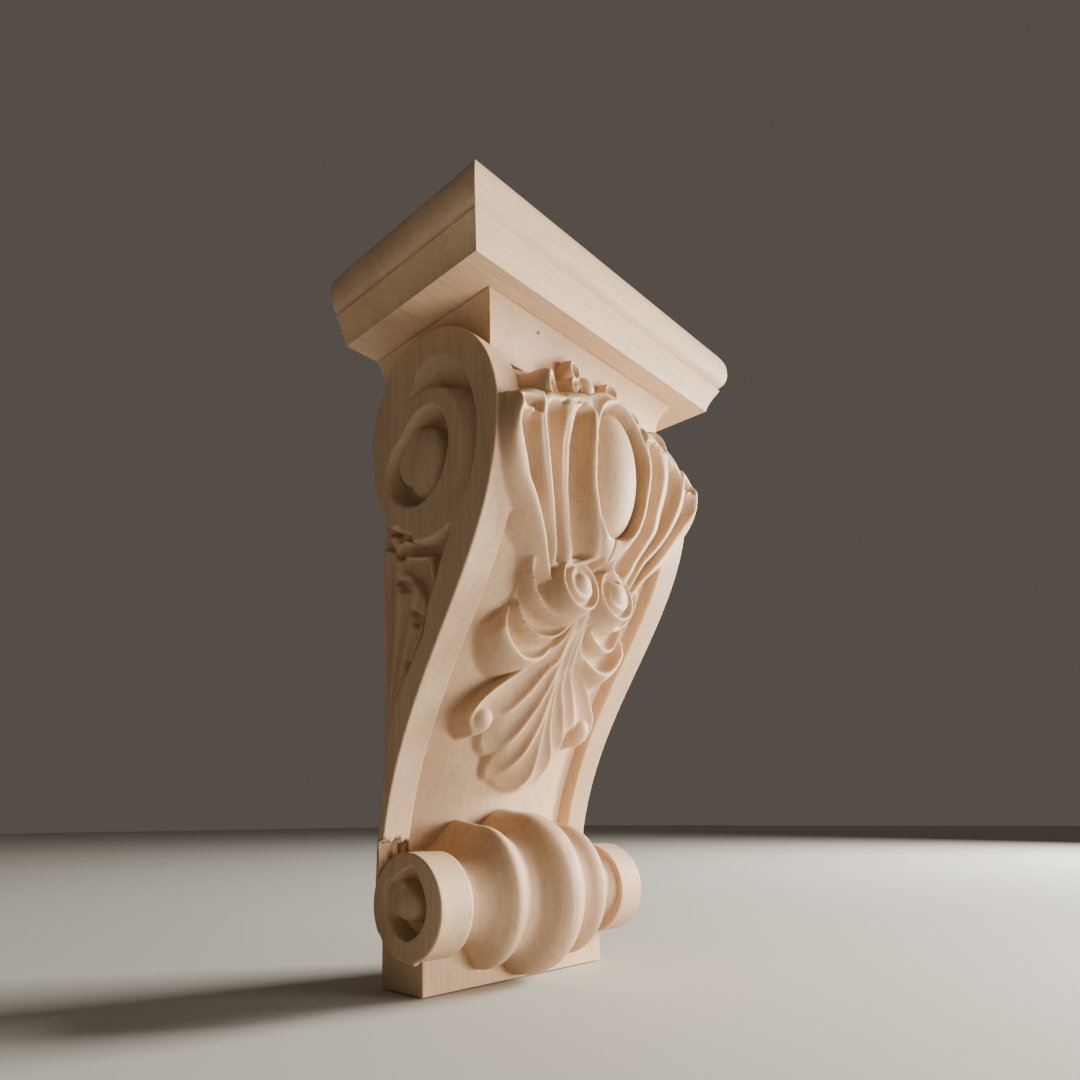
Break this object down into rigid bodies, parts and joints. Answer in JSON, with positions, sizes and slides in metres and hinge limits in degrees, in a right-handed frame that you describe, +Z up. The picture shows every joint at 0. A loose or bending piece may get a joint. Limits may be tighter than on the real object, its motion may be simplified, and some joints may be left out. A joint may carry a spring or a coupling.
{
  "type": "carved wooden corbel",
  "caption": "Carved wooden scroll bracket with a moulded cap board on top, hung on a wall or upright to carry a shelf, mantel or worktop edge.",
  "frame": {"origin": "on the flat back that lies against the wall, at mid width and at half of the whole height", "axes": "+X across the bracket's width, +Y out of its back into the wall, so its carved front looks along -Y, +Z up towards the cap's top"},
  "size_m": [0.1942, 0.1031, 0.348],
  "materials": {
    "cap_wood": "bare sanded pale hardwood, grain along the board's width",
    "body_wood": "bare carved pale hardwood, grain upright"
  },
  "bodies": {
    "root": {"cap": "cap_wood", "body": "body_wood"}
  },
  "joints": []
}
